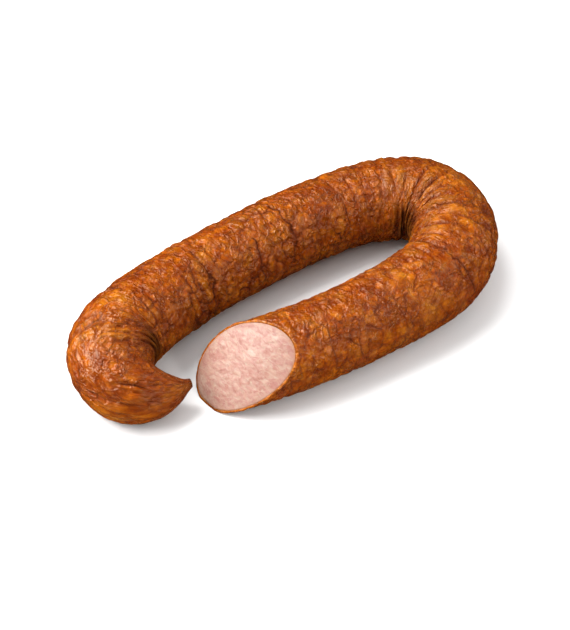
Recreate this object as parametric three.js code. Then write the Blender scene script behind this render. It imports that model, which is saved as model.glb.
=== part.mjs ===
// Cured sausage: one natural-casing link curled into a flat U, lying on a surface.
// One end is the twisted tail of the casing, curled back between the legs, and the
// other end is a slanting knife cut that shows the filling.
//
// Units are millimetres, +Z is up, and the surface it lies on is z = 0. The origin is
// the middle of the link's footprint, on that surface. The legs run along X and the
// closed end of the U is at +X.
//
// Two bodies: "casing", a thin skin open at the cut and solid at the twisted tail tip,
// and "filling", the solid meat inside it.

import * as THREE from 'three';

// ---------------------------------------------------------------- driving dimensions
const CASING_WALL = 0.8;        // thickness of the cured skin
const CLEARANCE = 0.3;          // gap between the skin's inside and the meat
const REST_SINK = 0.5;          // how far the underside is flattened by the link's weight
const FLAT_HALF_ANGLE = 12.5;   // degrees either side of straight down that lie flat
const AROUND = 24;              // points round each section
const CAVITY_START = 6;         // arc length from the tail tip where the skin stops being solid
const MEAT_START = 7.4;         // arc length from the tail tip where the meat begins
const CUT_BLEND = 326;          // arc length from which the sections lean over to the cut
const CUT_STEPS = 11;           // sections between there and the cut
const OVAL = 1.0216;            // sideways to upright ratio of the section at the cut end

// The knife cut: a plane through CUT_POINT with a slight dome, in object coordinates.
const CUT_NORMAL = [-0.71584797, -0.23444118, 0.6577226];
const CUT_MIDDLE = [-40.4771, -30.7983, 18.4];
const CUT_OFFSET = 50.78989;
const CUT_DOME_WIDE = -0.0074933;   // per mm, along the level direction of the face
const CUT_DOME_HIGH = -0.0029769;   // per mm, up the slope of the face

// Stations from the tail tip to past the cut:
// arc length, x, y, height of centre, radius, heading of the section in degrees.
// The height is above the unflattened underside, so REST_SINK comes off it.
const STATIONS = [
  [0, -64.23, -21.69, 14.0, 1.9, 172.96],
  [4, -68.19, -21.11, 13.13, 3.6, 169.93],
  [8, -72.11, -20.31, 12.61, 5.84, 166.14],
  [12, -75.96, -19.22, 12.43, 8.04, 160.95],
  [16, -79.69, -17.78, 12.58, 10.08, 151.71],
  [20, -83.21, -15.9, 13.03, 11.94, 136.38],
  [24, -86.37, -13.45, 13.75, 13.57, 122.11],
  [28, -88.9, -10.37, 14.63, 14.9, 109.34],
  [32, -90.48, -6.71, 15.57, 15.93, 98.13],
  [36, -90.9, -2.75, 16.48, 16.74, 88.05],
  [40, -90.25, 1.19, 17.39, 17.48, 78.59],
  [44, -88.74, 4.89, 18.18, 18.18, 69.43],
  [48, -86.54, 8.22, 18.77, 18.77, 60.33],
  [52, -83.79, 11.12, 19.19, 19.19, 51.16],
  [56, -80.61, 13.54, 19.42, 19.42, 41.84],
  [60, -77.15, 15.54, 19.49, 19.49, 32.34],
  [64, -73.53, 17.24, 19.46, 19.46, 24.24],
  [72, -66.04, 20.04, 19.26, 19.26, 18.65],
  [80, -58.41, 22.43, 19.03, 19.03, 16.25],
  [88, -50.69, 24.52, 18.81, 18.81, 14.05],
  [96, -42.89, 26.32, 18.63, 18.63, 11.93],
  [104, -35.04, 27.84, 18.49, 18.49, 10.01],
  [112, -27.14, 29.12, 18.38, 18.38, 8.45],
  [120, -19.21, 30.2, 18.32, 18.32, 7.13],
  [128, -11.27, 31.11, 18.31, 18.31, 5.94],
  [136, -3.3, 31.86, 18.34, 18.34, 4.83],
  [144, 4.68, 32.46, 18.42, 18.42, 3.8],
  [152, 12.66, 32.93, 18.49, 18.49, 2.85],
  [160, 20.65, 33.26, 18.54, 18.54, 1.97],
  [168, 28.65, 33.48, 18.52, 18.52, 0.9],
  [176, 36.65, 33.49, 18.46, 18.46, -1.02],
  [184, 44.64, 33.16, 18.4, 18.4, -4.11],
  [192, 52.6, 32.3, 18.42, 18.42, -8.7],
  [200, 60.44, 30.74, 18.57, 18.57, -14.19],
  [208, 68.08, 28.39, 18.83, 18.83, -20.38],
  [216, 75.38, 25.14, 19.12, 19.12, -29.21],
  [224, 81.86, 20.49, 19.35, 19.35, -46.87],
  [232, 86.27, 13.88, 19.5, 19.5, -66.2],
  [240, 88.11, 6.13, 19.58, 19.58, -85.19],
  [248, 87.6, -1.83, 19.64, 19.64, -102.7],
  [256, 84.75, -9.27, 19.65, 19.65, -118.51],
  [264, 80.23, -15.86, 19.63, 19.63, -129.7],
  [272, 74.66, -21.59, 19.59, 19.59, -139.26],
  [280, 68.15, -26.22, 19.52, 19.52, -150.61],
  [288, 60.84, -29.43, 19.41, 19.41, -161.64],
  [296, 53.09, -31.39, 19.28, 19.28, -169.1],
  [304, 45.17, -32.56, 19.14, 19.14, -174.04],
  [312, 37.2, -33.12, 18.88, 18.88, -177.33],
  [320, 29.2, -33.38, 18.61, 18.61, -178.59],
  [328, 21.2, -33.54, 18.41, 18.41, -179.01],
  [336, 13.2, -33.63, 18.33, 18.33, -180.01],
  [344, 5.2, -33.52, 18.33, 18.33, -181.56],
  [352, -2.79, -33.2, 18.33, 18.33, -183.09],
  [360, -10.77, -32.67, 18.33, 18.33, -184.61],
  [368, -18.74, -31.92, 18.33, 18.33, -186.12],
  [376, -26.68, -30.97, 18.33, 18.33, -187.6],
  [384, -34.59, -29.81, 18.33, 18.33, -189.06],
  [392, -42.48, -28.45, 18.33, 18.33, -190.49],
  [400, -50.33, -26.9, 18.33, 18.33, -191.9],
  [408, -58.13, -25.16, 18.33, 18.33, -193.28],
  [416, -65.9, -23.23, 18.33, 18.33, -194.62],
];

// Arc lengths of the sections before the lean to the cut: from, to, step.
const SPACING = [
  [0, 20, 2.5],
  [20, 62, 3.5],
  [62, 202, 7.78],
  [202, 296, 4.48],
  [296, 326, 7.5],
];

// ---------------------------------------------------------------- centre line
const n = STATIONS.length;
const path = new THREE.CatmullRomCurve3(
  STATIONS.map(([, x, y, z]) => new THREE.Vector3(x, y, z)), false, 'catmullrom', 0.5);
const section = new THREE.CatmullRomCurve3(
  STATIONS.map(([, , , , r, heading]) => new THREE.Vector3(r, heading, 0)), false, 'catmullrom', 0.5);

// Where an arc length falls in the stations, from 0 to 1.
function along(s) {
  let i = 0;
  while (i < n - 2 && STATIONS[i + 1][0] < s) i += 1;
  const span = STATIONS[i + 1][0] - STATIONS[i][0];
  return THREE.MathUtils.clamp((i + (s - STATIONS[i][0]) / span) / (n - 1), 0, 1);
}

// The link is the envelope of balls strung close together on the centre line.
const BALLS = [];
for (let s = 0; s <= STATIONS[n - 1][0]; s += 1) {
  const u = along(s);
  BALLS.push({ s, c: path.getPoint(u), r: section.getPoint(u).x });
}

// Depth of a point below the surface of the link, positive inside.
function depth(p, s) {
  let best = -Infinity;
  for (const b of BALLS) {
    if (Math.abs(b.s - s) > 50) continue;
    const d = b.r - Math.hypot(p.x - b.c.x, p.y - b.c.y, p.z - b.c.z);
    if (d > best) best = d;
  }
  return best;
}

// The point at arc length s, angle a round the section and a given depth in from the
// surface. Angle 0 is level, on the outer side of the U; 90 degrees is straight up.
function pointAt(s, a, inset) {
  const u = along(s);
  const c = path.getPoint(u);
  const h = THREE.MathUtils.degToRad(section.getPoint(u).y);
  const dir = new THREE.Vector3(-Math.sin(h) * Math.cos(a), Math.cos(h) * Math.cos(a), Math.sin(a));
  const p = c.clone();
  for (let k = 0; k < 200; k += 1) {
    const d = depth(p, s) - inset;
    if (d < 1e-4) break;
    p.addScaledVector(dir, d);
  }
  // slightly wider than high towards the cut
  const w = THREE.MathUtils.smoothstep(s, 320, 380) * (OVAL - 1);
  p.x = c.x + (p.x - c.x) * (1 + w);
  p.y = c.y + (p.y - c.y) * (1 + w);
  p.z /= 1 + w;
  // flattened where it lies on the surface
  p.z = Math.max(inset, p.z - REST_SINK);
  return p;
}

// ---------------------------------------------------------------- knife cut
const cutN = new THREE.Vector3(...CUT_NORMAL).normalize();
const cutWide = new THREE.Vector3(-cutN.y, cutN.x, 0).normalize();
const cutHigh = new THREE.Vector3().crossVectors(cutN, cutWide);
const cutMiddle = new THREE.Vector3(...CUT_MIDDLE);

// Distance of a point past the cut surface, along the cut's normal.
function pastCut(p) {
  const q = p.clone().sub(cutMiddle);
  const a = q.dot(cutWide);
  const b = q.dot(cutHigh);
  return p.dot(cutN) - CUT_OFFSET - CUT_DOME_WIDE * a * a - CUT_DOME_HIGH * b * b;
}

// Arc length at which the line along the surface at angle a meets the cut.
function cutAt(a, inset) {
  let lo = CUT_BLEND;
  let hi = STATIONS[n - 1][0] - 2;
  for (let k = 0; k < 30; k += 1) {
    const mid = (lo + hi) / 2;
    if (pastCut(pointAt(mid, a, inset)) < 0) lo = mid; else hi = mid;
  }
  return (lo + hi) / 2;
}

// ---------------------------------------------------------------- surface grids
const ANGLES = [];
{
  const flat = THREE.MathUtils.degToRad(FLAT_HALF_ANGLE);
  const rest = 2 * Math.PI - 2 * flat;
  for (let j = 0; j < AROUND; j += 1) ANGLES.push(-Math.PI / 2 + flat + rest * j / (AROUND - 1));
}

const SECTIONS = [];
for (const [from, to, step] of SPACING) {
  const count = Math.round((to - from) / step);
  for (let k = 0; k < count; k += 1) SECTIONS.push(from + (to - from) * k / count);
}

// Rings of points from arc length "start" to the cut, at one depth.
function rings(start, inset) {
  const ends = ANGLES.map((a) => cutAt(a, inset));
  const out = [];
  for (const s of [start, ...SECTIONS.filter((v) => v > start + 0.8)]) {
    out.push(ANGLES.map((a) => pointAt(s, a, inset)));
  }
  for (let k = 0; k <= CUT_STEPS; k += 1) {
    out.push(ANGLES.map((a, j) => {
      const s = CUT_BLEND + (ends[j] - CUT_BLEND) * k / CUT_STEPS;
      const p = pointAt(s, a, inset);
      // the last section lies exactly on the cut surface
      return k === CUT_STEPS ? p.addScaledVector(cutN, -pastCut(p)) : p;
    }));
  }
  return out;
}

// ---------------------------------------------------------------- mesh building
class Shell {
  constructor() { this.v = []; this.t = []; }
  point(p) { this.v.push(p.x, p.y, p.z); return this.v.length / 3 - 1; }
  ring(points) { return points.map((p) => this.point(p)); }
  // quads between two rings of indices, each split the same way
  join(a, b) {
    const m = a.length;
    for (let j = 0; j < m; j += 1) {
      const k = (j + 1) % m;
      this.t.push(a[j], b[k], a[k], a[j], b[j], b[k]);
    }
  }
  // fan from a ring to a single point
  close(a, tip, flip) {
    const m = a.length;
    for (let j = 0; j < m; j += 1) {
      const k = (j + 1) % m;
      if (flip) this.t.push(a[k], a[j], tip); else this.t.push(a[j], a[k], tip);
    }
  }
  mesh(name, material) {
    let vol = 0;
    const { v, t } = this;
    const P = (i) => new THREE.Vector3(v[3 * i], v[3 * i + 1], v[3 * i + 2]);
    for (let i = 0; i < t.length; i += 3) vol += P(t[i]).dot(P(t[i + 1]).cross(P(t[i + 2]))) / 6;
    if (vol < 0) for (let i = 0; i < t.length; i += 3) [t[i], t[i + 1]] = [t[i + 1], t[i]];
    const g = new THREE.BufferGeometry();
    g.setAttribute('position', new THREE.Float32BufferAttribute(v, 3));
    g.setIndex(t);
    g.computeVertexNormals();
    const m = new THREE.Mesh(g, material);
    m.name = name;
    return m;
  }
}

function centreOf(s) {
  const p = path.getPoint(along(s));
  p.z -= REST_SINK;
  return p;
}

// ---------------------------------------------------------------- casing
function makeCasing(material) {
  const shell = new Shell();
  const outer = rings(0, 0).map((r) => shell.ring(r));
  const inner = rings(CAVITY_START, CASING_WALL).map((r) => shell.ring(r));
  // tail tip: the twisted end, snipped off square
  shell.close(outer[0], shell.point(centreOf(0)), false);
  for (let i = 0; i + 1 < outer.length; i += 1) shell.join(outer[i], outer[i + 1]);
  // rim of the skin at the cut
  shell.join(outer[outer.length - 1], inner[inner.length - 1]);
  // inside, back to where the twist closes it
  for (let i = inner.length - 1; i > 0; i -= 1) shell.join(inner[i], inner[i - 1]);
  shell.close(inner[0], shell.point(centreOf(CAVITY_START - 1)), true);
  return shell.mesh('casing', material);
}

// ---------------------------------------------------------------- filling
function makeFilling(material) {
  const shell = new Shell();
  const inset = CASING_WALL + CLEARANCE;
  const side = rings(MEAT_START, inset);
  const idx = side.map((r) => shell.ring(r));
  shell.close(idx[0], shell.point(centreOf(MEAT_START - 0.9)), false);
  for (let i = 0; i + 1 < idx.length; i += 1) shell.join(idx[i], idx[i + 1]);
  // cut face: rings drawn in to the middle, each laid on the domed cut surface
  const rim = side[side.length - 1];
  const mid = new THREE.Vector3();
  rim.forEach((p) => mid.add(p));
  mid.divideScalar(rim.length);
  const onCut = (p) => p.addScaledVector(cutN, -pastCut(p));
  let last = idx[idx.length - 1];
  for (const f of [0.75, 0.5, 0.25]) {
    const ring = shell.ring(rim.map((p) => onCut(mid.clone().lerp(p, f))));
    shell.join(last, ring);
    last = ring;
  }
  shell.close(last, shell.point(onCut(mid.clone())), true);
  return shell.mesh('filling', material);
}

// ---------------------------------------------------------------- assembly
const casingMaterial = new THREE.MeshStandardMaterial({
  name: 'casing', color: new THREE.Color(0.62, 0.30, 0.09), roughness: 0.38, metalness: 0 });
const meatMaterial = new THREE.MeshStandardMaterial({
  name: 'meat', color: new THREE.Color(0.87, 0.66, 0.58), roughness: 0.55, metalness: 0 });

const link = new THREE.Group();
link.name = 'cured_sausage';
link.add(makeCasing(casingMaterial));
link.add(makeFilling(meatMaterial));

export default link;
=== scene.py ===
import math
import bpy
import numpy as np
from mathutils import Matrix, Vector


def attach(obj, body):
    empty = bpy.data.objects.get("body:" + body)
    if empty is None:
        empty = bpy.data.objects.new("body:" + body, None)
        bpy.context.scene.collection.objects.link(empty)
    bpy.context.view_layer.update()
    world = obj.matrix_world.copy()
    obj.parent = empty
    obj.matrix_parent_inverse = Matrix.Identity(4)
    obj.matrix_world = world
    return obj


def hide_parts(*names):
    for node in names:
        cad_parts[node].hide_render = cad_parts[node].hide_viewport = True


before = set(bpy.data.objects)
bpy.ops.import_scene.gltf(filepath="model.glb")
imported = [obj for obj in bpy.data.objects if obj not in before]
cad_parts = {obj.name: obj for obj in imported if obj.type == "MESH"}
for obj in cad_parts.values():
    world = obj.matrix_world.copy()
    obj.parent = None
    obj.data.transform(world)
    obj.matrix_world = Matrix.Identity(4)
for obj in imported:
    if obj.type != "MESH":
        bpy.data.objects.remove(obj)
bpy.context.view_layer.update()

# ------------------------------------------------------------------ stations
# arc length, x, y, height of centre, radius, heading in degrees; all mm, as in the CAD
STATIONS = np.array([
    (0, -64.23, -21.69, 14.0, 1.9, 172.96),
    (4, -68.19, -21.11, 13.13, 3.6, 169.93),
    (8, -72.11, -20.31, 12.61, 5.84, 166.14),
    (12, -75.96, -19.22, 12.43, 8.04, 160.95),
    (16, -79.69, -17.78, 12.58, 10.08, 151.71),
    (20, -83.21, -15.9, 13.03, 11.94, 136.38),
    (24, -86.37, -13.45, 13.75, 13.57, 122.11),
    (28, -88.9, -10.37, 14.63, 14.9, 109.34),
    (32, -90.48, -6.71, 15.57, 15.93, 98.13),
    (36, -90.9, -2.75, 16.48, 16.74, 88.05),
    (40, -90.25, 1.19, 17.39, 17.48, 78.59),
    (44, -88.74, 4.89, 18.18, 18.18, 69.43),
    (48, -86.54, 8.22, 18.77, 18.77, 60.33),
    (52, -83.79, 11.12, 19.19, 19.19, 51.16),
    (56, -80.61, 13.54, 19.42, 19.42, 41.84),
    (60, -77.15, 15.54, 19.49, 19.49, 32.34),
    (64, -73.53, 17.24, 19.46, 19.46, 24.24),
    (72, -66.04, 20.04, 19.26, 19.26, 18.65),
    (80, -58.41, 22.43, 19.03, 19.03, 16.25),
    (88, -50.69, 24.52, 18.81, 18.81, 14.05),
    (96, -42.89, 26.32, 18.63, 18.63, 11.93),
    (104, -35.04, 27.84, 18.49, 18.49, 10.01),
    (112, -27.14, 29.12, 18.38, 18.38, 8.45),
    (120, -19.21, 30.2, 18.32, 18.32, 7.13),
    (128, -11.27, 31.11, 18.31, 18.31, 5.94),
    (136, -3.3, 31.86, 18.34, 18.34, 4.83),
    (144, 4.68, 32.46, 18.42, 18.42, 3.8),
    (152, 12.66, 32.93, 18.49, 18.49, 2.85),
    (160, 20.65, 33.26, 18.54, 18.54, 1.97),
    (168, 28.65, 33.48, 18.52, 18.52, 0.9),
    (176, 36.65, 33.49, 18.46, 18.46, -1.02),
    (184, 44.64, 33.16, 18.4, 18.4, -4.11),
    (192, 52.6, 32.3, 18.42, 18.42, -8.7),
    (200, 60.44, 30.74, 18.57, 18.57, -14.19),
    (208, 68.08, 28.39, 18.83, 18.83, -20.38),
    (216, 75.38, 25.14, 19.12, 19.12, -29.21),
    (224, 81.86, 20.49, 19.35, 19.35, -46.87),
    (232, 86.27, 13.88, 19.5, 19.5, -66.2),
    (240, 88.11, 6.13, 19.58, 19.58, -85.19),
    (248, 87.6, -1.83, 19.64, 19.64, -102.7),
    (256, 84.75, -9.27, 19.65, 19.65, -118.51),
    (264, 80.23, -15.86, 19.63, 19.63, -129.7),
    (272, 74.66, -21.59, 19.59, 19.59, -139.26),
    (280, 68.15, -26.22, 19.52, 19.52, -150.61),
    (288, 60.84, -29.43, 19.41, 19.41, -161.64),
    (296, 53.09, -31.39, 19.28, 19.28, -169.1),
    (304, 45.17, -32.56, 19.14, 19.14, -174.04),
    (312, 37.2, -33.12, 18.88, 18.88, -177.33),
    (320, 29.2, -33.38, 18.61, 18.61, -178.59),
    (328, 21.2, -33.54, 18.41, 18.41, -179.01),
    (336, 13.2, -33.63, 18.33, 18.33, -180.01),
    (344, 5.2, -33.52, 18.33, 18.33, -181.56),
    (352, -2.79, -33.2, 18.33, 18.33, -183.09),
    (360, -10.77, -32.67, 18.33, 18.33, -184.61),
    (368, -18.74, -31.92, 18.33, 18.33, -186.12),
    (376, -26.68, -30.97, 18.33, 18.33, -187.6),
    (384, -34.59, -29.81, 18.33, 18.33, -189.06),
    (392, -42.48, -28.45, 18.33, 18.33, -190.49),
    (400, -50.33, -26.9, 18.33, 18.33, -191.9),
    (408, -58.13, -25.16, 18.33, 18.33, -193.28),
    (416, -65.9, -23.23, 18.33, 18.33, -194.62),
])
REST_SINK = 0.5
OVAL = 1.0216
CUT_N = np.array([-0.71584797, -0.23444118, 0.6577226]); CUT_N /= np.linalg.norm(CUT_N)
CUT_MID = np.array([-40.4771, -30.7983, 18.4])
CUT_OFF = 50.78989
DOME_W, DOME_H = -0.0074933, -0.0029769
CUT_WIDE = np.array([-CUT_N[1], CUT_N[0], 0.0]); CUT_WIDE /= np.linalg.norm(CUT_WIDE)
CUT_HIGH = np.cross(CUT_N, CUT_WIDE)
CUT_BLEND = 326.0


# ------------------------------------------------------------------ noise
def _h(ix, iy, k):
    n = (ix.astype(np.int64) * 374761393 + iy.astype(np.int64) * 668265263 + int(k) * 974634777) & 0xffffffff
    n = ((n ^ (n >> 13)) * 1274126177) & 0xffffffff
    n = ((n ^ (n >> 15)) * 668265263) & 0xffffffff
    n = n ^ (n >> 16)
    return (n & 0xffffff) / float(0x1000000)


def vnoise(x, y, wrap, seed):
    """Smooth value noise, -1 to 1. y repeats every `wrap` cells."""
    xi = np.floor(x); yi = np.floor(y)
    fx = x - xi; fy = y - yi
    fx = fx * fx * fx * (fx * (fx * 6 - 15) + 10)
    fy = fy * fy * fy * (fy * (fy * 6 - 15) + 10)
    xi = xi.astype(np.int64); yi = yi.astype(np.int64)
    y0 = np.mod(yi, wrap); y1 = np.mod(yi + 1, wrap)
    a = _h(xi, y0, seed); b = _h(xi + 1, y0, seed)
    c = _h(xi, y1, seed); d = _h(xi + 1, y1, seed)
    return ((a * (1 - fx) + b * fx) * (1 - fy) + (c * (1 - fx) + d * fx) * fy) * 2 - 1


CIRC = 120.0    # mm round the link, the unit of the unrolled skin


def fbm(s, u, size_s, size_u, seed, octaves=3, gain=0.5):
    """Noise on the unrolled skin; sizes in mm."""
    n = max(1, int(round(CIRC / size_u)))
    out = 0; amp = 1.0; tot = 0
    for o in range(octaves):
        k = 2 ** o
        out = out + amp * vnoise(s / size_s * k, u / CIRC * n * k, n * k, seed + 17 * o)
        tot += amp; amp *= gain
    return out / tot


def cells(s, u, size_s, size_u, seed, width=0.12, jitter=0.85, across=None, low=0.0, power=1.0):
    """Cells on the unrolled skin. Returns (crease, dome, cell id).
    crease is 1 on a cell's edge, and each edge has its own strength. across picks edges by their
    direction: +1 keeps creases that run round the link, -1 creases that run along it."""
    n = max(3, int(round(CIRC / size_u)))
    X = s / size_s; Y = u / CIRC * n
    xi = np.floor(X).astype(np.int64); yi = np.floor(Y).astype(np.int64)

    def point(ix, iy):
        w = np.mod(iy, n)
        px = ix + 0.5 + jitter * (_h(ix, w, seed) - 0.5)
        py = iy + 0.5 + jitter * (_h(ix, w, seed + 1) - 0.5)
        return px, py, _h(ix, w, seed + 2)
    best = np.full(X.shape, 1e9); bx = np.zeros_like(X); by = np.zeros_like(X); bid = np.zeros_like(X)
    for dx in (-1, 0, 1):
        for dy in (-1, 0, 1):
            px, py, pid = point(xi + dx, yi + dy)
            d = (px - X) ** 2 + (py - Y) ** 2
            m = d < best
            best = np.where(m, d, best); bx = np.where(m, px, bx); by = np.where(m, py, by); bid = np.where(m, pid, bid)
    crease = np.zeros_like(X); edge = np.full(X.shape, 9.0)
    for dx in (-2, -1, 0, 1, 2):
        for dy in (-2, -1, 0, 1, 2):
            px, py, pid = point(xi + dx, yi + dy)
            ex = px - bx; ey = py - by
            L = np.sqrt(ex * ex + ey * ey)
            same = L < 1e-6
            L = np.where(same, 1, L)
            e = ((px + bx) * 0.5 - X) * ex / L + ((py + by) * 0.5 - Y) * ey / L
            e = np.where(same, 9.0, np.maximum(e, 0))
            w = np.mod((pid + bid) * 7.31 + pid * bid * 13.7, 1.0)
            w = low + (1 - low) * w ** power
            if across is not None:
                # direction of the edge's normal in mm
                nx = ex / L * size_s; ny = ey / L * size_u
                q = np.abs(nx) / np.sqrt(nx * nx + ny * ny + 1e-9)
                q = q if across > 0 else 1 - q
                w = w * np.clip(q * 1.6 - 0.5, 0, 1)
            crease = np.maximum(crease, w * np.exp(-e / width))
            edge = np.minimum(edge, e)
    return crease, edge, bid


def smooth(a, b, x):
    t = np.clip((x - a) / (b - a), 0, 1)
    return t * t * (3 - 2 * t)


# ------------------------------------------------------------------ the link's smooth body
def catmull(P, q):
    """Uniform Catmull-Rom through the rows of P at positions q (0 to len-1)."""
    n = len(P)
    q = np.clip(q, 0, n - 1)
    i = np.minimum(np.floor(q).astype(int), n - 2); t = (q - i)[..., None]
    p0 = P[np.maximum(i - 1, 0)]; p1 = P[i]; p2 = P[i + 1]; p3 = P[np.minimum(i + 2, n - 1)]
    first = (i == 0)[..., None]; last = (i == n - 2)[..., None]
    p0 = np.where(first, 2 * p1 - p2, p0); p3 = np.where(last, 2 * p2 - p1, p3)
    v0 = (p2 - p0) * 0.5; v1 = (p3 - p1) * 0.5
    return (2 * p1 - 2 * p2 + v0 + v1) * t ** 3 + (-3 * p1 + 3 * p2 - 2 * v0 - v1) * t ** 2 + v0 * t + p1


S_KNOT = STATIONS[:, 0]


def station(s):
    """x, y, z, radius, heading (radians) at arc length s."""
    q = np.interp(s, S_KNOT, np.arange(len(S_KNOT)))
    v = catmull(STATIONS[:, 1:], q)
    v[..., 4] = np.radians(v[..., 4])
    return v


BALL_S = np.arange(0, S_KNOT[-1], 0.5)
BALLS = station(BALL_S)


class Body:
    """The envelope of the balls at one depth, on a regular grid of arc length and angle."""

    def __init__(self, inset, step=1.25, around=96):
        self.s = np.arange(0, S_KNOT[-1] - 1.5, step)
        self.step = step; self.around = around; self.inset = inset
        th = np.arange(around) / around * 2 * np.pi
        st = station(self.s)
        out = np.zeros((len(self.s), around, 3))
        for i, s in enumerate(self.s):
            m = np.abs(BALL_S - s) < 50
            C = BALLS[m][:, :3]; R = BALLS[m][:, 3]
            h = st[i, 4]
            d = np.stack([-np.sin(h) * np.cos(th), np.cos(h) * np.cos(th), np.sin(th)], -1)
            rho = np.full(around, max(0.0, st[i, 3] * 0.6 - inset))
            c = st[i, :3]
            for k in range(40):
                X = c + d * rho[:, None]
                D = (R - np.sqrt(((X[:, None] - C[None]) ** 2).sum(2))).max(1) - inset
                if np.abs(D).max() < 2e-4:
                    break
                rho = np.maximum(rho + D, 0.02)
            X = c + d * rho[:, None]
            w = float(smooth(320, 380, np.array(s))) * (OVAL - 1)
            X[:, 0] = c[0] + (X[:, 0] - c[0]) * (1 + w)
            X[:, 1] = c[1] + (X[:, 1] - c[1]) * (1 + w)
            X[:, 2] /= 1 + w
            out[i] = X
        self.P = out

    def at(self, s, th):
        """Points at arrays of arc length and angle, by cubic interpolation of the grid."""
        q = np.clip(s / self.step, 0, len(self.s) - 1.001)
        i = np.floor(q).astype(int); fx = q - i
        p = np.mod(th / (2 * np.pi) * self.around, self.around)
        j = np.floor(p).astype(int); fy = p - j

        def w4(t):
            return [(-t + 2 * t * t - t ** 3) / 2, (2 - 5 * t * t + 3 * t ** 3) / 2,
                    (t + 4 * t * t - 3 * t ** 3) / 2, (-t * t + t ** 3) / 2]
        wx = w4(fx); wy = w4(fy)
        out = 0
        n = len(self.s)
        for a in range(4):
            ii = np.clip(i + a - 1, 0, n - 1)
            row = 0
            for b in range(4):
                jj = np.mod(j + b - 1, self.around)
                row = row + wy[b][..., None] * self.P[ii, jj]
            out = out + wx[a][..., None] * row
        out[..., 2] = np.maximum(self.inset, out[..., 2] - REST_SINK)
        return out


def past_cut(P):
    q = P - CUT_MID
    a = q @ CUT_WIDE; b = q @ CUT_HIGH
    return P @ CUT_N - CUT_OFF - DOME_W * a * a - DOME_H * b * b


def cut_at(body, th):
    """Arc length at which the line at each angle meets the knife cut."""
    lo = np.full(th.shape, CUT_BLEND); hi = np.full(th.shape, S_KNOT[-1] - 3.0)
    for k in range(30):
        mid = (lo + hi) / 2
        inside = past_cut(body.at(mid, th)) < 0
        lo = np.where(inside, mid, lo); hi = np.where(inside, hi, mid)
    return (lo + hi) / 2


def spaced(fn, s0, s1):
    """Arc lengths from s0 to s1 with local step fn(s)."""
    out = [s0]
    while out[-1] < s1:
        out.append(out[-1] + fn(out[-1]))
    out = np.array(out)
    return s0 + (out - s0) * (s1 - s0) / (out[-1] - s0)


def grid(body, th, s_rows, s_from, n_cut):
    """Arc length at every row and angle, with the last rows leaning over to the knife cut."""
    end = cut_at(body, th)
    rows = np.repeat(s_rows[:, None], len(th), 1)
    k = np.arange(1, n_cut + 1) / n_cut
    lean = CUT_BLEND + (end[None] - CUT_BLEND) * k[:, None]
    return np.vstack([rows, lean])


# ------------------------------------------------------------------ wrinkles of the skin
# folds that stand out: (arc length, angle) points, depth, width and lip height in mm
FOLDS = [
    ([(27, 50), (25, 54), (23, 57), (21, 58), (19, 56), (15.5, 50)], 1.0, 0.55, 0.25),
    ([(36, 150), (38, 133), (41, 118), (42.5, 100), (43, 86), (42, 72), (40, 58)], 0.45, 0.7, 0.3),
    ([(47, 128), (48.5, 108), (48.5, 90), (47, 76)], 0.35, 0.7, 0.2),
    ([(52, 140), (55, 118), (56, 98), (54, 80)], 0.35, 0.7, 0.2),
    ([(31, 40), (28, 30), (24, 24), (19, 21)], 0.4, 0.6, 0.2),
    ([(34, 12), (29, 4), (23, 0), (17, 2)], 0.4, 0.6, 0.2),
    ([(34, -18), (27, -22), (20, -22)], 0.6, 0.6, 0.2),
]


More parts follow.
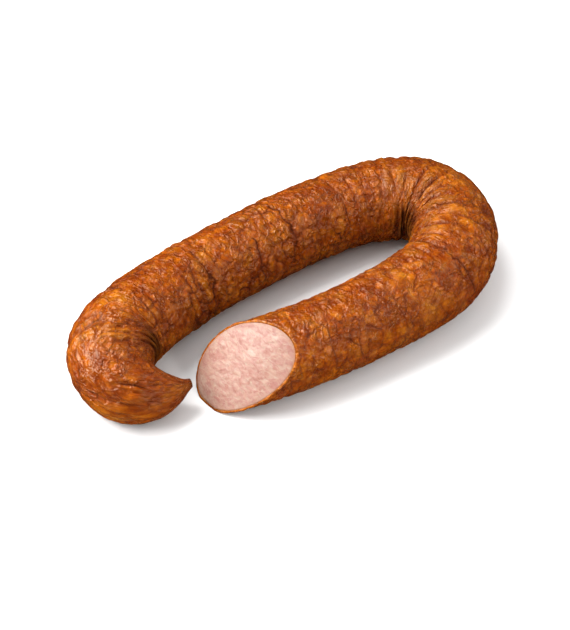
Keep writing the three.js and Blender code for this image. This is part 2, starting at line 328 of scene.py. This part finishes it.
def wrinkles(s, th, r):
    """Height of the skin over the smooth body in mm, with crease depth 0..1, which darkens the colour both as the
    creases' own colour and as painted shade, and tone fields.
    """
    u = np.mod(th / (2 * np.pi), 1.0) * CIRC
    # ripple the ground the cells stand on, so no crease is straight
    ws = 2.2 * fbm(s, u, 9, 12, 11, 3) + 0.7 * fbm(s, u, 2.6, 3.0, 12, 2)
    wu = 3.2 * fbm(s, u, 11, 12, 21, 3) + 0.7 * fbm(s, u, 2.6, 3.0, 22, 2)
    S = s + ws; U = u + wu
    inner = np.clip(-np.cos(th), 0, 1)              # 1 on the inner side of the U
    bend = smooth(200, 216, s) * (1 - smooth(290, 335, s))
    tail = 1 - smooth(20, 50, s)
    tuck = smooth(26, 40, s) * (1 - smooth(50, 66, s))
    calm = smooth(-0.25, 0.55, fbm(s, u, 16, 16, 31, 2))   # some patches are smoother than others

    # long creases round the link, which scallop its outline
    cT, eT, idT = cells(S + 0.5 * ws, U, 8.0, 34.0, 101, width=0.085, across=1, low=0.10, power=0.9)
    # plates
    cA, eA, idA = cells(S, U, 5.2, 8.0, 201, width=0.095, low=0.38, power=0.8)
    # small cells
    S2 = s + ws * 0.8 + 2; U2 = u + wu * 0.8
    cB, eB, idB = cells(S2, U2, 2.8, 3.6, 301, width=0.13, low=0.02, power=1.4)
    # pleats on the inside of the bend
    Sp = s + 1.2 * fbm(s, u, 8, 14, 41, 2) + 0.35 * fbm(s, u, 3, 4, 42, 2)
    cP, eP, idP = cells(Sp, U, 7.4, 26.0, 401, width=0.11, jitter=0.7, across=1, low=0.35, power=0.7)
    # long folds that run together at the tail
    Ut = u + 2.5 * fbm(s, u, 12, 14, 51, 3)
    cL, eL, idL = cells(s + 3 * fbm(s, u, 10, 10, 52, 2), Ut, 17.0, 7.5, 501, width=0.11, jitter=0.8, across=-1, low=0.25, power=0.8)

    top = np.clip(np.sin(th), 0, 1)
    wP = np.maximum(bend * smooth(0.05, 0.6, inner + 0.35 * top), 0.85 * tuck * smooth(0.15, 0.75, inner + 0.45 * top))
    near = smooth(292, 325, s)
    wP = np.maximum(wP, 0.15 * near)
    # thin creases across the cut leg, joined into a ladder low on its outer side
    cN, eN, idN = cells(s + 0.7 * ws, u + 0.6 * wu, 5.4, 10.5, 811, width=0.07, jitter=0.75, low=0.05, power=0.8)
    wN = near * (0.35 + 0.65 * smooth(-0.1, 0.6, np.cos(th)))
    wL = tail * (0.60 + 0.40 * smooth(-0.3, 0.4, np.cos(th - 0.2) - 0.2))
    base = (1 - 0.72 * wP) * (1 - 0.35 * tail) * (1 - 0.45 * wN)
    amp = 0.40 + 0.60 * calm

    h = np.full_like(s, -0.50)
    cT = cT * (1 - 0.6 * near)
    h -= 0.55 * cT * (1 - 0.8 * tail) * (1 - 0.5 * wP)
    h += 0.45 * (1 - np.exp(-eT / 0.20)) * (1 - tail)
    h -= 0.55 * cA * base * amp
    h += 0.62 * (1 - np.exp(-eA / 0.20)) * base * amp
    h -= 0.20 * cB * (1 - 0.35 * wP) * (1 - 0.3 * tail) * amp
    h += 0.24 * (1 - np.exp(-eB / 0.25)) * (1 - 0.35 * wP) * (1 - 0.3 * tail) * amp
    bil = np.abs(fbm(S, U, 5.0, 6.5, 71, 2))
    h += 0.55 * np.minimum(bil, 0.5) * base
    h += wP * (1.10 * (1 - np.exp(-eP / 0.28)) - 0.80 * cP)
    h += wN * (0.55 * (1 - np.exp(-eN / 0.22)) - 0.38 * cN)
    small = np.clip(r / 12.0, 0.25, 1)
    h += wL * small * (0.50 * (1 - np.exp(-eL / 0.2)) - 0.80 * cL) + 0.3 * tail
    h += 0.22 * fbm(s, u, 14, 18, 61, 2) + 0.16 * fbm(s, u, 5, 7, 62, 2)
    # crease darkness for the colour: partly the creases' own darker colour, partly painted shade in them
    crease = np.maximum.reduce([0.95 * cT * (1 - 0.8 * tail), 0.90 * cA * base * amp, 0.5 * cB * (1 - 0.35 * wP) * amp, 0.95 * cP * wP, 0.80 * cN * wN, 0.9 * cL * wL,
                                0.30 * base * np.exp(-(bil / 0.05) ** 2)])
    # painted shade in the crotch where the tail bulb tucks in against the leg
    crease = np.maximum(crease, 0.75 * tuck * smooth(0.45, 0.95, inner) * smooth(-0.2, 0.5, np.sin(th) + 0.4))
    # painted shade deep in the inside of the bend, darkening the colour where the leg overhangs it
    crease = np.maximum(crease, 0.72 * smooth(203, 222, s) * (1 - smooth(252, 278, s)) * smooth(0.70, 1.0, inner))
    h = h * (1 - 0.30 * near)
    # single folds that stand out
    for pts, depth, wide, lip in FOLDS:
        d = np.full(s.shape, 1e9); tt = np.zeros_like(s)
        k = r / 19.1
        q = np.array([(a, b / 360 * CIRC) for a, b in pts])
        L = len(q) - 1
        for i in range(L):
            ax, ay = q[i]; bx, by = q[i + 1]
            du = np.mod(u - ay + CIRC / 2, CIRC) - CIRC / 2
            ex = bx - ax; ey = by - ay
            X = s - ax + 0.25 * ws; Y = (du + 0.25 * wu) * k; EY = ey * k
            t = np.clip((X * ex + Y * EY) / (ex * ex + EY * EY + 1e-9), 0, 1)
            dd = np.hypot(X - t * ex, Y - t * EY)
            m = dd < d
            d = np.where(m, dd, d); tt = np.where(m, (i + t) / L, tt)
        taper = np.clip(np.minimum(tt, 1 - tt) * 5, 0.0, 1)
        g = np.exp(-(d / wide) ** 2) * taper
        h -= depth * g
        h += lip * np.exp(-((d - 2.2 * wide) / (1.6 * wide)) ** 2) * taper
        # the fold line darkens the colour: partly its own colour, partly painted shade
        crease = np.maximum(crease, min(0.8, depth * 0.8) * np.exp(-(d / (wide * 0.8)) ** 2) * taper)
    h = np.where(h < -0.45, -0.45 - 0.22 * (1 - np.exp((h + 0.45) / 0.22)), h)
    # the twisted end of the tail draws in to a small dark point
    end = 1 - np.clip(s / 5.2, 0, 1)
    h = h - 0.85 * np.clip(r - 1.0, 0, None) * end
    crease = np.maximum(crease, 0.50 * (1 - smooth(0.3, 3.0, s)))
    return h, crease, u


# ------------------------------------------------------------------ casing
AROUND = 288
th = -np.pi / 2 + (np.arange(AROUND) + 0.5) / AROUND * 2 * np.pi
outer = Body(0.0)
inner = Body(0.82)

scale_q = 0.6


def step_fn(s):
    if s < 6: v = 0.35
    elif s < 50: v = 0.55
    elif 205 < s < 280: v = 0.52
    else: v = 0.74
    return v * scale_q


rows = spaced(step_fn, 0.0, CUT_BLEND)
n_cut = int(round(78 / (0.74 * scale_q)))
S = grid(outer, th, rows, 0.0, n_cut)
TH = np.repeat(th[None], len(S), 0)
P = outer.at(S, TH)


def normals(P):
    a = np.gradient(P, axis=0)
    b = np.roll(P, -1, 1) - np.roll(P, 1, 1)
    N = np.cross(b, a)
    N /= np.linalg.norm(N, axis=2)[..., None] + 1e-12
    c = P.mean(1, keepdims=True)
    if ((P - c) * N).sum() < 0:
        N = -N
    return N


def blur(A, k=1):
    """A small blur over the rows and round the link."""
    for _ in range(k):
        A = (np.roll(A, 1, 1) + 2 * A + np.roll(A, -1, 1)) / 4
        B = A.copy()
        B[1:-1] = (A[:-2] + 2 * A[1:-1] + A[2:]) / 4
        A = B
    return A


N = normals(P)
N = blur(N, 6); N /= np.linalg.norm(N, axis=2)[..., None]
R = station(S)[..., 3]
H, CR, UU = wrinkles(S, TH, R)
H = blur(H, 1)
# thinner wrinkles where the link is thin, none through the board
H *= np.clip(R / 14.0, 0.15, 1)
last = smooth(len(S) - 6, len(S) - 1, np.arange(len(S), dtype=float))[:, None, None]
dirn = N - last * (N @ CUT_N)[..., None] * CUT_N
Q = P + H[..., None] * dirn
Q[-1] -= past_cut(Q[-1])[:, None] * CUT_N
Q[..., 2] = np.maximum(Q[..., 2], 0.0)


def mesh_object(name, verts_mm, faces, mats, slots=None, smooth_shade=True):
    me = bpy.data.meshes.new(name)
    me.from_pydata((verts_mm * 0.001).tolist(), [], faces)
    me.validate()
    if smooth_shade:
        me.polygons.foreach_set("use_smooth", [True] * len(me.polygons))
    for m in mats:
        me.materials.append(m)
    if slots is not None:
        me.polygons.foreach_set("material_index", slots)
    me.update()
    o = bpy.data.objects.new(name, me)
    bpy.context.scene.collection.objects.link(o)
    return o


def ring_quads(a0, b0, n):
    return [(a0 + j, b0 + j, b0 + (j + 1) % n, a0 + (j + 1) % n) for j in range(n)]


def attribute(me, name, values, kind="FLOAT"):
    at = me.attributes.new(name, kind, "POINT")
    if kind == "FLOAT":
        at.data.foreach_set("value", np.asarray(values, dtype=np.float32).ravel())
    else:
        at.data.foreach_set("vector", np.asarray(values, dtype=np.float32).ravel())


def tube_coords(S, TH, r=18.8):
    """The skin rolled out straight: a cylinder along X, in mm, for textures."""
    return np.stack([S, r * np.cos(TH), r * np.sin(TH)], -1)


def build_casing(material):
    n = AROUND
    rows_in = spaced(lambda s: 9.0, 6.0, CUT_BLEND)
    Si = grid(inner, th, rows_in, 6.0, 10)
    # the inside's points, with the last row laid onto the knife cut at the rim
    Pi = inner.at(Si, np.repeat(th[None], len(Si), 0))
    Pi[-1] -= past_cut(Pi[-1])[:, None] * CUT_N
    verts = [Q.reshape(-1, 3)]
    nv = Q.shape[0] * n
    faces = []
    for i in range(Q.shape[0] - 1):
        faces += ring_quads(i * n, (i + 1) * n, n)
    # rim, with one ring between so that it takes the light as a worn edge
    rim_mid = 0.5 * Q[-1] + 0.5 * Pi[-1] + 0.05 * CUT_N
    verts.append(rim_mid); rm = nv; nv += n
    faces += ring_quads((Q.shape[0] - 1) * n, rm, n)
    verts.append(Pi.reshape(-1, 3)); i0 = nv; nv += Pi.shape[0] * n
    faces += ring_quads(rm, i0 + (Pi.shape[0] - 1) * n, n)
    for i in range(Pi.shape[0] - 1, 0, -1):
        faces += ring_quads(i0 + i * n, i0 + (i - 1) * n, n)
    # tail tip and the closed end of the inside
    tip = Q[0].mean(0) + np.array([0.25, 0, 0])
    verts.append(tip[None]); tipi = nv; nv += 1
    faces += [(j, (j + 1) % n, tipi) for j in range(n)]
    back = Pi[0].mean(0) - 0.6 * (Pi[1].mean(0) - Pi[0].mean(0)) / np.linalg.norm(Pi[1].mean(0) - Pi[0].mean(0))
    verts.append(back[None]); bi = nv; nv += 1
    faces += [(i0 + (j + 1) % n, i0 + j, bi) for j in range(n)]
    V = np.vstack(verts)
    o = mesh_object("casing_skin", V, faces, [material])
    me = o.data
    # texture coordinates and crease depth, which also carries painted shade for the colour
    T = np.vstack([tube_coords(S, TH).reshape(-1, 3),
                   tube_coords(S[-1] + 0.4, th, 18.4),
                   tube_coords(Si, np.repeat(th[None], len(Si), 0), 18.0).reshape(-1, 3),
                   [[0, 0, 0]], [[6, 0, 0]]])
    C = np.concatenate([CR.ravel(), np.zeros(n), np.zeros(Si.size), [0.8], [0]])
    Hh = np.concatenate([H.ravel(), np.zeros(n), np.zeros(Si.size), [0], [0]])
    RIM = np.concatenate([np.zeros(CR.size), np.ones(n), np.ones(Si.size), [0], [0]])
    RIM[(Q.shape[0] - 1) * n:Q.shape[0] * n] = 0.15
    attribute(me, "tube", T * 0.1, "FLOAT_VECTOR")      # centimetres
    attribute(me, "crease", C)
    attribute(me, "lift", Hh)
    attribute(me, "rim", RIM)
    return o


# ------------------------------------------------------------------ filling
def build_filling(material):
    n = AROUND
    body = Body(0.86, step=2.5)
    rows_f = spaced(lambda s: 8.0, 7.6, CUT_BLEND)
    Sf = grid(body, th, rows_f, 7.6, 12)
    Pf = body.at(Sf, np.repeat(th[None], len(Sf), 0))
    Pf[-1] -= past_cut(Pf[-1])[:, None] * CUT_N
    verts = [Pf.reshape(-1, 3)]; nv = Pf.shape[0] * n
    faces = []
    for i in range(Pf.shape[0] - 1):
        faces += ring_quads(i * n, (i + 1) * n, n)
    back = Pf[0].mean(0) - 0.5 * (Pf[1].mean(0) - Pf[0].mean(0)) / np.linalg.norm(Pf[1].mean(0) - Pf[0].mean(0))
    verts.append(back[None]); bi = nv; nv += 1
    faces += [(j, (j + 1) % n, bi) for j in range(n)]
    # the cut face: rings drawn in to the middle, on the domed cut, with a fine relief
    rim = Pf[-1]; mid = rim.mean(0)
    K = 44
    prev = (Pf.shape[0] - 1) * n
    for k in range(1, K):
        f = 1 - k / K
        ring = mid + (rim - mid) * f
        ring -= past_cut(ring)[:, None] * CUT_N
        a = (ring - CUT_MID) @ CUT_WIDE; b = (ring - CUT_MID) @ CUT_HIGH
        edge = min(1.0, (1 - f) * 8)
        rel = 0.10 * vnoise(a / 3.1, b / 2.2, 10 ** 6, 71) + 0.07 * vnoise(a / 1.3 + 40, b / 1.0 + 40, 10 ** 6, 72) + 0.25 * (vnoise(a / 14 + 9, b / 14 + 9, 10 ** 6, 73))
        ring += (edge * rel)[:, None] * CUT_N
        verts.append(ring); faces += ring_quads(prev, nv, n); prev = nv; nv += n
    m = mid[None] - past_cut(mid[None])[:, None] * CUT_N
    verts.append(m)
    faces += [(prev + (j + 1) % n, prev + j, nv) for j in range(n)]; nv += 1
    V = np.vstack(verts)
    o = mesh_object("meat_filling", V, faces, [material])
    a = (V - CUT_MID) @ CUT_WIDE; b = (V - CUT_MID) @ CUT_HIGH; c = (V - CUT_MID) @ CUT_N
    attribute(o.data, "face", np.stack([a, b, c], -1) * 0.1, "FLOAT_VECTOR")
    # how near the skin each point of the face is
    near = np.concatenate([np.ones(Pf.shape[0] * n), [1.0]] + [np.full(n, 1 - k / K) for k in range(1, K)] + [[0.0]])
    attribute(o.data, "near_skin", near)
    return o


# ------------------------------------------------------------------ materials
class Nodes:
    def __init__(self, name):
        self.m = bpy.data.materials.new(name)
        self.m.use_nodes = True
        self.t = self.m.node_tree
        self.t.nodes.clear()
        self.out = self.t.nodes.new("ShaderNodeOutputMaterial")
        self.b = self.t.nodes.new("ShaderNodeBsdfPrincipled")
        self.t.links.new(self.b.outputs[0], self.out.inputs[0])

    def new(self, kind, **kw):
        n = self.t.nodes.new(kind)
        for k, v in kw.items():
            setattr(n, k, v)
        return n

    def link(self, a, b):
        self.t.links.new(a, b)

    def attr(self, name, out="Fac"):
        n = self.new("ShaderNodeAttribute", attribute_name=name, attribute_type="GEOMETRY")
        return n.outputs[out]

    def math(self, op, a, b=None, c=None, clamp=False):
        n = self.new("ShaderNodeMath", operation=op, use_clamp=clamp)
        for i, v in enumerate((a, b, c)):
            if v is None: continue
            if isinstance(v, (int, float)): n.inputs[i].default_value = v
            else: self.link(v, n.inputs[i])
        return n.outputs[0]

    def vmul(self, v, xyz):
        n = self.new("ShaderNodeVectorMath", operation="MULTIPLY")
        self.link(v, n.inputs[0]); n.inputs[1].default_value = xyz
        return n.outputs[0]

    def vadd(self, a, b):
        n = self.new("ShaderNodeVectorMath", operation="ADD")
        self.link(a, n.inputs[0])
        if isinstance(b, tuple): n.inputs[1].default_value = b
        else: self.link(b, n.inputs[1])
        return n.outputs[0]

    def noise(self, v, scale, detail=3, rough=0.55, distortion=0.0, out="Fac"):
        n = self.new("ShaderNodeTexNoise")
        self.link(v, n.inputs["Vector"])
        n.inputs["Scale"].default_value = scale; n.inputs["Detail"].default_value = detail
        n.inputs["Roughness"].default_value = rough; n.inputs["Distortion"].default_value = distortion
        return n.outputs[out]

    def ridged(self, v, scale, detail=3, rough=0.5, distortion=0.3):
        n = self.new("ShaderNodeTexNoise", noise_type="RIDGED_MULTIFRACTAL", normalize=True)
        self.link(v, n.inputs["Vector"])
        n.inputs["Scale"].default_value = scale; n.inputs["Detail"].default_value = detail
        n.inputs["Roughness"].default_value = rough; n.inputs["Distortion"].default_value = distortion
        return n.outputs["Fac"]

    def voronoi(self, v, scale, feature="DISTANCE_TO_EDGE", out="Distance", randomness=1.0):
        n = self.new("ShaderNodeTexVoronoi", feature=feature)
        self.link(v, n.inputs["Vector"]); n.inputs["Scale"].default_value = scale
        n.inputs["Randomness"].default_value = randomness
        return n.outputs[out]

    def ramp(self, fac, stops, interp="LINEAR"):
        n = self.new("ShaderNodeValToRGB")
        n.color_ramp.interpolation = interp
        e = n.color_ramp.elements
        while len(e) > 1: e.remove(e[-1])
        e[0].position = stops[0][0]; e[0].color = stops[0][1] if len(stops[0][1]) == 4 else (*stops[0][1], 1)
        for p, c in stops[1:]:
            x = e.new(p); x.color = c if len(c) == 4 else (*c, 1)
        self.link(fac, n.inputs[0])
        return n.outputs[0]

    def mix(self, fac, a, b, mode="MIX"):
        n = self.new("ShaderNodeMix", data_type="RGBA", blend_type=mode)
        for i, v in ((0, fac), (6, a), (7, b)):
            if isinstance(v, (int, float)): n.inputs[i].default_value = v
            elif isinstance(v, tuple): n.inputs[i].default_value = (*v, 1)
            else: self.link(v, n.inputs[i])
        return n.outputs[2]

    def remap(self, v, a, b, c, d, clamp=True, smoothstep=False):
        n = self.new("ShaderNodeMapRange", clamp=clamp, interpolation_type="SMOOTHSTEP" if smoothstep else "LINEAR")
        self.link(v, n.inputs[0])
        for i, x in zip((1, 2, 3, 4), (a, b, c, d)): n.inputs[i].default_value = x
        return n.outputs[0]

    def bump(self, height, strength, distance, normal=None):
        n = self.new("ShaderNodeBump")
        n.inputs["Strength"].default_value = strength; n.inputs["Distance"].default_value = distance
        self.link(height, n.inputs["Height"])
        if normal is not None: self.link(normal, n.inputs["Normal"])
        return n.outputs[0]


def srgb(r, g, b):
    f = lambda c: (c / 255 / 12.92) if c / 255 <= 0.04045 else ((c / 255 + 0.055) / 1.055) ** 2.4
    return (f(r), f(g), f(b))


SKIN_GAIN = (0.532, 0.562, 0.435)


def dark(r, g, b):
    """A colour as it looks under the studio light, taken down to the surface's own colour."""
    return tuple(c * g for c, g in zip(srgb(r, g, b), SKIN_GAIN))


def skin_material():
    k = Nodes("cured_skin")
    v = k.attr("tube", "Vector")                       # cm along and round the skin
    crease = k.attr("crease"); lift = k.attr("lift"); rim = k.attr("rim")
    warp = k.noise(v, 2.2, 3, 0.5, out="Color")
    vw = k.vadd(v, k.vmul(warp, (0.35, 0.35, 0.35)))
    # mottling of the smoke colour, from broad clouds down to blotches
    broad = k.noise(vw, 0.75, 3, 0.55, 0.3)
    mid = k.noise(vw, 2.6, 4, 0.62, 0.4)
    tone = k.math("ADD", k.math("ADD", k.math("MULTIPLY", broad, 0.40), k.math("MULTIPLY", mid, 0.45)), k.math("MULTIPLY", k.noise(k.vadd(vw, (6.0, 1.0, 0.0)), 5.5, 3, 0.6, 0.4), 0.15))
    base = k.ramp(tone, [
        (0.38, dark(142, 50, 5)), (0.45, dark(176, 74, 8)), (0.50, dark(202, 95, 12)), (0.55, dark(218, 112, 18)), (0.63, dark(232, 136, 34))])
    red = k.remap(k.noise(vw, 1.6, 4, 0.60), 0.50, 0.66, 0, 0.55)
    base = k.mix(red, base, dark(152, 54, 6))
    # shallow plates with crisp edges, and a finer net inside them
    pv = k.vadd(k.vmul(vw, (1.25, 0.95, 1.0)), k.vmul(k.noise(v, 5.0, 2, 0.5, out="Color"), (0.12, 0.12, 0.12)))
    plate = k.voronoi(pv, 2.5)
    net = k.voronoi(k.vadd(pv, (4.3, 1.7, 0.0)), 5.2)
    plm = k.remap(k.noise(v, 1.3, 2), 0.40, 0.58, 0.1, 1.0)
    netm = k.remap(k.noise(k.vadd(v, (3.3, 5.1, 0.0)), 1.6, 2), 0.42, 0.62, 0.05, 1.0)
    pd = k.math("MULTIPLY", k.remap(plate, 0.0, 0.10, 1, 0, smoothstep=True), plm)
    nd = k.math("MULTIPLY", k.remap(net, 0.0, 0.18, 1, 0, smoothstep=True), netm)
    # the plate edges and net lines are darker: partly their own colour, partly painted shade in these fine creases
    base = k.mix(k.math("MULTIPLY", pd, 0.50), base, dark(112, 40, 10))
    base = k.mix(k.math("MULTIPLY", nd, 0.48), base, dark(126, 48, 10))
    rm = k.remap(k.noise(k.vadd(v, (5.0, 2.0, 3.0)), 1.1, 2), 0.38, 0.60, 0.35, 1.0)
    ridge = k.ridged(k.vadd(vw, (2.0, 9.0, 0.0)), 2.2, 3, 0.5, 0.6)
    # painted light on the relief: the ridged noise's crests are painted lighter as a highlight and its low parts darker
    # as shade
    base = k.mix(k.math("MULTIPLY", k.remap(ridge, 0.50, 0.90, 0, 0.60), rm), base, dark(244, 166, 84))
    base = k.mix(k.math("MULTIPLY", k.remap(ridge, 0.04, 0.24, 0.55, 0), rm), base, dark(120, 44, 10))
    # darker in the creases: partly the creases' own darker colour, partly painted shade; the deepest creases, the
    # crotch and the inside of the bend get a darker painted shade
    cr = k.remap(crease, 0.08, 0.70, 0, 0.90)
    base = k.mix(cr, base, dark(110, 38, 7))
    base = k.mix(k.remap(crease, 0.52, 0.82, 0, 0.75), base, dark(62, 20, 5))
    # painted light: the raised parts of the skin's relief are painted lighter
    painted_crest_light = k.remap(lift, 0.10, 0.85, 0, 0.32)
    base = k.mix(painted_crest_light, base, dark(224, 136, 40))
    sp = k.remap(k.noise(v, 14.0, 2, 0.5), 0.64, 0.73, 0, 0.6)
    base = k.mix(sp, base, dark(96, 34, 10))
    base = k.mix(k.math("MULTIPLY", rim, k.remap(k.noise(v, 3.2, 3), 0.38, 0.62, 0.12, 0.92)), base, dark(214, 118, 36))
    k.link(base, k.b.inputs["Base Color"])
    rough = k.math("ADD", k.remap(k.noise(vw, 1.2, 2), 0.35, 0.65, 0.13, 0.30), k.math("MULTIPLY", cr, 0.2))
    k.link(rough, k.b.inputs["Roughness"])
    lumps = k.noise(k.vadd(vw, (3.0, 14.0, 0.0)), 2.6, 2, 0.5, 0.5)
    h = k.math("MULTIPLY", k.math("MULTIPLY", k.remap(plate, 0.0, 0.22, 0, 1, smoothstep=True), plm), 0.35)
    h = k.math("ADD", h, k.math("MULTIPLY", k.math("MULTIPLY", k.remap(net, 0.0, 0.26, 0, 1, smoothstep=True), netm), 0.12))
    h = k.math("ADD", h, lumps)
    h = k.math("ADD", h, k.math("MULTIPLY", k.math("MULTIPLY", ridge, rm), 0.8))
    nrm = k.bump(h, 1.0, 0.0013)
    nrm = k.bump(k.noise(vw, 8.5, 3, 0.6), 0.8, 0.00042, nrm)
    k.link(nrm, k.b.inputs["Normal"])
    k.b.inputs["Subsurface Weight"].default_value = 0.08
    k.b.inputs["Subsurface Radius"].default_value = (1.0, 0.35, 0.12)
    k.b.inputs["Subsurface Scale"].default_value = 0.0012
    k.b.inputs["IOR"].default_value = 1.31
    # creases hold no oil: they stay matt and deep
    dull = k.math("MULTIPLY", k.math("MAXIMUM", cr, k.math("MULTIPLY", pd, 0.6)), 0.85)
    k.link(k.math("SUBTRACT", 1.0, dull), k.b.inputs["Specular IOR Level"])
    k.b.inputs["Sheen Weight"].default_value = 0.02
    k.b.inputs["Sheen Roughness"].default_value = 0.35
    k.b.inputs["Sheen Tint"].default_value = (1.0, 0.74, 0.48, 1.0)
    k.b.inputs["Specular Tint"].default_value = (1.0, 0.87, 0.64, 1.0)
    return k.m


def pale(r, g, b):
    return tuple(c * g for c, g in zip(srgb(r, g, b), (0.405, 0.385, 0.36)))


def meat_material():
    k = Nodes("cured_meat")
    v = k.attr("face", "Vector")                      # cm across and up the cut face
    near = k.attr("near_skin")
    # the grain is drawn out along one direction by the stuffing
    rot = k.new("ShaderNodeVectorRotate", rotation_type="Z_AXIS")
    k.link(v, rot.inputs["Vector"]); rot.inputs["Angle"].default_value = math.radians(12)
    g = k.vmul(rot.outputs[0], (0.72, 1.25, 1.0))
    warp = k.noise(g, 3.0, 3, 0.55, out="Color")
    gw = k.vadd(g, k.vmul(warp, (0.30, 0.30, 0.30)))
    a = k.noise(gw, 3.6, 5, 0.66, 0.6)
    base = k.ramp(a, [(0.28, pale(214, 146, 134)), (0.42, pale(226, 166, 152)), (0.52, pale(235, 186, 168)), (0.62, pale(241, 204, 186)), (0.75, pale(246, 220, 202))])
    lean = k.remap(k.noise(gw, 6.2, 3, 0.5), 0.57, 0.72, 0, 0.5, smoothstep=True)
    base = k.mix(lean, base, pale(206, 128, 118))
    fat = k.remap(k.noise(k.vadd(gw, (7.3, 2.1, 0.0)), 9.0, 3, 0.55), 0.60, 0.74, 0, 0.6, smoothstep=True)
    base = k.mix(fat, base, pale(248, 228, 208))
    pits = k.remap(k.voronoi(k.vadd(gw, (3.1, 0.2, 0.0)), 7.5, "F1"), 0.02, 0.11, 1, 0)
    pitsel = k.math("MULTIPLY", pits, k.remap(k.noise(g, 5.0, 1), 0.55, 0.62, 0, 0.8))
    base = k.mix(pitsel, base, pale(164, 92, 80))
    edge = k.remap(near, 0.955, 1.0, 0, 0.6, smoothstep=True)
    base = k.mix(edge, base, pale(228, 160, 118))
    k.link(base, k.b.inputs["Base Color"])
    k.link(k.remap(a, 0.3, 0.7, 0.50, 0.36), k.b.inputs["Roughness"])
    h = k.math("SUBTRACT", k.math("ADD", k.math("MULTIPLY", a, 0.8), k.math("MULTIPLY", k.noise(gw, 11.0, 3, 0.6), 0.5)), k.math("MULTIPLY", pitsel, 1.2))
    k.link(k.bump(h, 0.5, 0.0004), k.b.inputs["Normal"])
    k.b.inputs["Subsurface Weight"].default_value = 0.35
    k.b.inputs["Subsurface Radius"].default_value = (1.0, 0.45, 0.30)
    k.b.inputs["Subsurface Scale"].default_value = 0.002
    k.b.inputs["Specular IOR Level"].default_value = 0.45
    return k.m


skin = build_casing(skin_material())
meat = build_filling(meat_material())
for o, node, slot in ((skin, "casing", "casing"), (meat, "filling", "meat")):
    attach(o, "root"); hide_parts(node)

# ------------------------------------------------------------------ floor
fm = Nodes("pale_floor")
tc = fm.new("ShaderNodeTexCoord")
fm.link(fm.ramp(fm.noise(tc.outputs["Object"], 3.0, 2), [(0.3, (0.77, 0.77, 0.77)), (0.7, (0.79, 0.79, 0.79))]), fm.b.inputs["Base Color"])
fm.b.inputs["Roughness"].default_value = 0.9
fm.b.inputs["Specular IOR Level"].default_value = 0.1
fme = bpy.data.meshes.new("floor")
fme.from_pydata([(-4, -4, 0), (4, -4, 0), (4, 4, 0), (-4, 4, 0)], [], [(0, 1, 2, 3)])
fme.materials.append(fm.m)
floor = bpy.data.objects.new("floor", fme)
bpy.context.scene.collection.objects.link(floor)
floor.visible_glossy = False

# ------------------------------------------------------------------ light
sc = bpy.context.scene
sc.view_settings.view_transform = "Standard"
sc.view_settings.look = "None"
world = bpy.data.worlds.new("studio")
sc.world = world
world.use_nodes = True
world.node_tree.nodes["Background"].inputs[0].default_value = (1.0, 1.0, 1.0, 1)
world.node_tree.nodes["Background"].inputs[1].default_value = 0.46
world.cycles_visibility.glossy = False

CAM = Vector((-0.35230, -0.53943, 0.62469))
AIM = Vector((0.00030, 0.00353, -0.0005))
A33 = math.radians(-33)


def photo_dir(az, el):
    """A direction from its bearing in the view's own ground frame: 0 is to the right, 90 is away."""
    a = math.radians(az) + A33; e = math.radians(el)
    return Vector((math.cos(a) * math.cos(e), math.sin(a) * math.cos(e), math.sin(e)))


def area(name, az, el, dist, size, power, color=(1, 1, 1)):
    d = bpy.data.lights.new(name, "AREA")
    d.shape = "RECTANGLE"; d.size, d.size_y = size
    d.energy = power; d.color = color
    o = bpy.data.objects.new(name, d)
    v = photo_dir(az, el)
    o.location = AIM + v * dist
    o.rotation_mode = "QUATERNION"
    o.rotation_quaternion = v.to_track_quat("Z", "Y")
    sc.collection.objects.link(o)
    return o


def sun(name, az, el, strength, angle, color=(1, 1, 1)):
    d = bpy.data.lights.new(name, "SUN")
    d.energy = strength; d.angle = math.radians(angle); d.color = color
    o = bpy.data.objects.new(name, d)
    v = photo_dir(az, el)
    o.rotation_mode = "QUATERNION"
    o.rotation_quaternion = v.to_track_quat("Z", "Y")
    o.location = AIM + v
    sc.collection.objects.link(o)
    return o


sun("key", 146, 70, 1.32, 20)
top_light = area("soft_top", 120, 86, 1.2, (3.0, 3.0), 15.5)
top_light.visible_glossy = False
area("sheen_box", 150, 52, 1.1, (0.55, 0.40), 3.0)
area("left_box", 182, 42, 1.0, (0.85, 0.62), 18.5)
area("right_box", 14, 24, 1.1, (0.50, 0.40), 3.0)
area("front_fill", -46, 30, 1.2, (0.32, 0.23), 4.3, (1.0, 0.97, 0.95))

# ------------------------------------------------------------------ camera
cd = bpy.data.cameras.new("camera")
cd.lens = 113.14; cd.sensor_width = 36
cd.clip_start = 0.01; cd.clip_end = 50
cam = bpy.data.objects.new("camera", cd)
cam.location = CAM
cam.rotation_mode = "QUATERNION"
cam.rotation_quaternion = (CAM - AIM).to_track_quat("Z", "Y")
sc.collection.objects.link(cam)
sc.camera = cam

bpy.context.view_layer.update()
